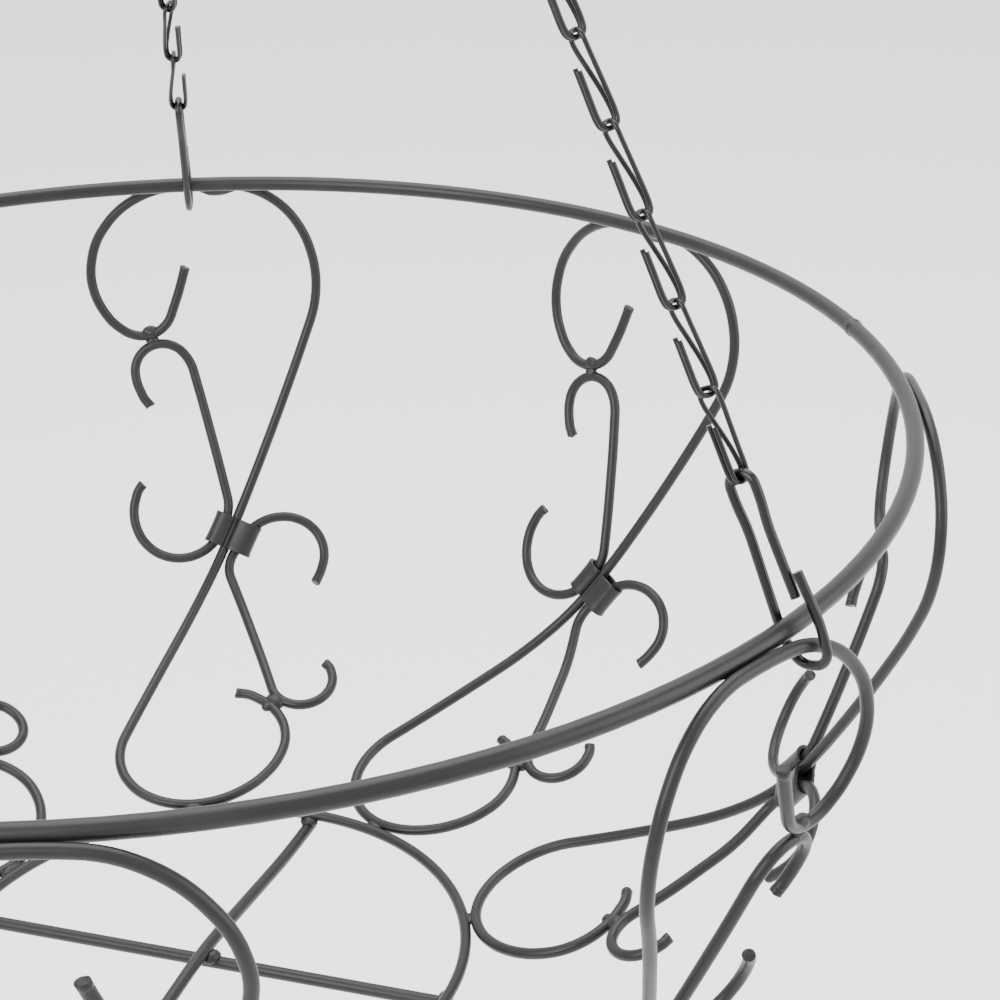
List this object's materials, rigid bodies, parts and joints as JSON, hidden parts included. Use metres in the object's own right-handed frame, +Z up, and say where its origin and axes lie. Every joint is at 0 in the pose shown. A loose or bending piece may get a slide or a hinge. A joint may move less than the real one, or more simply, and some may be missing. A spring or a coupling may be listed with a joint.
{
  "type": "hanging basket",
  "caption": "Open wire hanging basket: scroll panels between a round rim and a small crossed bottom ring, hung by chains from a bent-wire hook.",
  "frame": {"origin": "top of the inside of the hook, where it rests on its support", "axes": "+Z up; +X to the right and +Y to the back, seen from the side the basket is viewed from"},
  "size_m": [0.4363, 0.4364, 0.7348],
  "materials": {
    "frame_black": "satin powder coat",
    "chain_black": "glossy black lacquer"
  },
  "bodies": {
    "hook": {"hook": "chain_black"},
    "gather": {"gather_ring": "chain_black"},
    "basket": {"rim": "frame_black", "bottom_ring": "frame_black", "bottom_bar_under": "frame_black", "bottom_bar_over": "frame_black", "panel_1_big_scroll": "frame_black", "panel_1_left_scroll": "frame_black", "panel_1_right_scroll": "frame_black", "panel_1_collar": "frame_black", "panel_2_big_scroll": "frame_black", "panel_2_left_scroll": "frame_black", "panel_2_right_scroll": "frame_black", "panel_2_collar": "frame_black", "panel_3_big_scroll": "frame_black", "panel_3_left_scroll": "frame_black", "panel_3_right_scroll": "frame_black", "panel_3_collar": "frame_black", "panel_4_big_scroll": "frame_black", "panel_4_left_scroll": "frame_black", "panel_4_right_scroll": "frame_black", "panel_4_collar": "frame_black", "panel_5_big_scroll": "frame_black", "panel_5_left_scroll": "frame_black", "panel_5_right_scroll": "frame_black", "panel_5_collar": "frame_black", "panel_6_big_scroll": "frame_black", "panel_6_left_scroll": "frame_black", "panel_6_right_scroll": "frame_black", "panel_6_collar": "frame_black", "panel_7_big_scroll": "frame_black", "panel_7_left_scroll": "frame_black", "panel_7_right_scroll": "frame_black", "panel_7_collar": "frame_black", "panel_8_big_scroll": "frame_black", "panel_8_left_scroll": "frame_black", "panel_8_right_scroll": "frame_black", "panel_8_collar": "frame_black"},
    "chain_back_lower": {"chain_back_end_link": "chain_black", "chain_back_links_1": "chain_black", "chain_back_links_2": "chain_black"},
    "chain_back_upper": {"chain_back_links_3": "chain_black", "chain_back_links_4": "chain_black", "chain_back_top_link": "chain_black"},
    "chain_right_lower": {"chain_right_end_link": "chain_black", "chain_right_links_1": "chain_black", "chain_right_links_2": "chain_black"},
    "chain_right_upper": {"chain_right_links_3": "chain_black", "chain_right_links_4": "chain_black", "chain_right_top_link": "chain_black"},
    "chain_left_lower": {"chain_left_end_link": "chain_black", "chain_left_links_1": "chain_black", "chain_left_links_2": "chain_black"},
    "chain_left_upper": {"chain_left_links_3": "chain_black", "chain_left_links_4": "chain_black", "chain_left_top_link": "chain_black"}
  },
  "joints": [
    {"name": "sway", "type": "hinge", "parent": "hook", "child": "gather", "pos_m": [0, 0, -0.082], "axis": [-0.6334, 0.7738, 0], "range_deg": [-25, 25]},
    {"name": "swing", "type": "hinge", "parent": "gather", "child": "basket", "pos_m": [0, 0, -0.1081], "axis": [0.7738, 0.6334, 0], "range_deg": [-30, 30]},
    {"name": "back_chain_bow", "type": "hinge", "parent": "basket", "child": "chain_back_lower", "pos_m": [0.01921, 0.20711, -0.5479], "axis": [0.084, 0.9051, 0.4168], "range_deg": [-1.5, 1.5]},
    {"name": "back_chain_knee", "type": "hinge", "parent": "chain_back_lower", "child": "chain_back_upper", "pos_m": [0.01301, 0.10504, -0.32503], "axis": [0.084, 0.9051, 0.4168], "range_deg": [-3, 3]},
    {"name": "right_chain_bow", "type": "hinge", "parent": "basket", "child": "chain_right_lower", "pos_m": [0.1381, -0.15554, -0.5479], "axis": [0.6002, -0.676, 0.4275], "range_deg": [-1.5, 1.5]},
    {"name": "right_chain_knee", "type": "hinge", "parent": "chain_right_lower", "child": "chain_right_upper", "pos_m": [0.0681, -0.0767, -0.32498], "axis": [0.6002, -0.676, 0.4275], "range_deg": [-3, 3]},
    {"name": "left_chain_bow", "type": "hinge", "parent": "basket", "child": "chain_left_lower", "pos_m": [-0.20666, 0.02355, -0.5479], "axis": [-0.9031, 0.1029, 0.4169], "range_deg": [-1.5, 1.5]},
    {"name": "left_chain_knee", "type": "hinge", "parent": "chain_left_lower", "child": "chain_left_upper", "pos_m": [-0.10546, 0.00873, -0.32503], "axis": [-0.9031, 0.1029, 0.4169], "range_deg": [-3, 3]}
  ],
  "couplings": [
    {"joint": "back_chain_knee", "follows": "back_chain_bow", "ratio": -2},
    {"joint": "right_chain_knee", "follows": "right_chain_bow", "ratio": -2},
    {"joint": "left_chain_knee", "follows": "left_chain_bow", "ratio": -2}
  ]
}
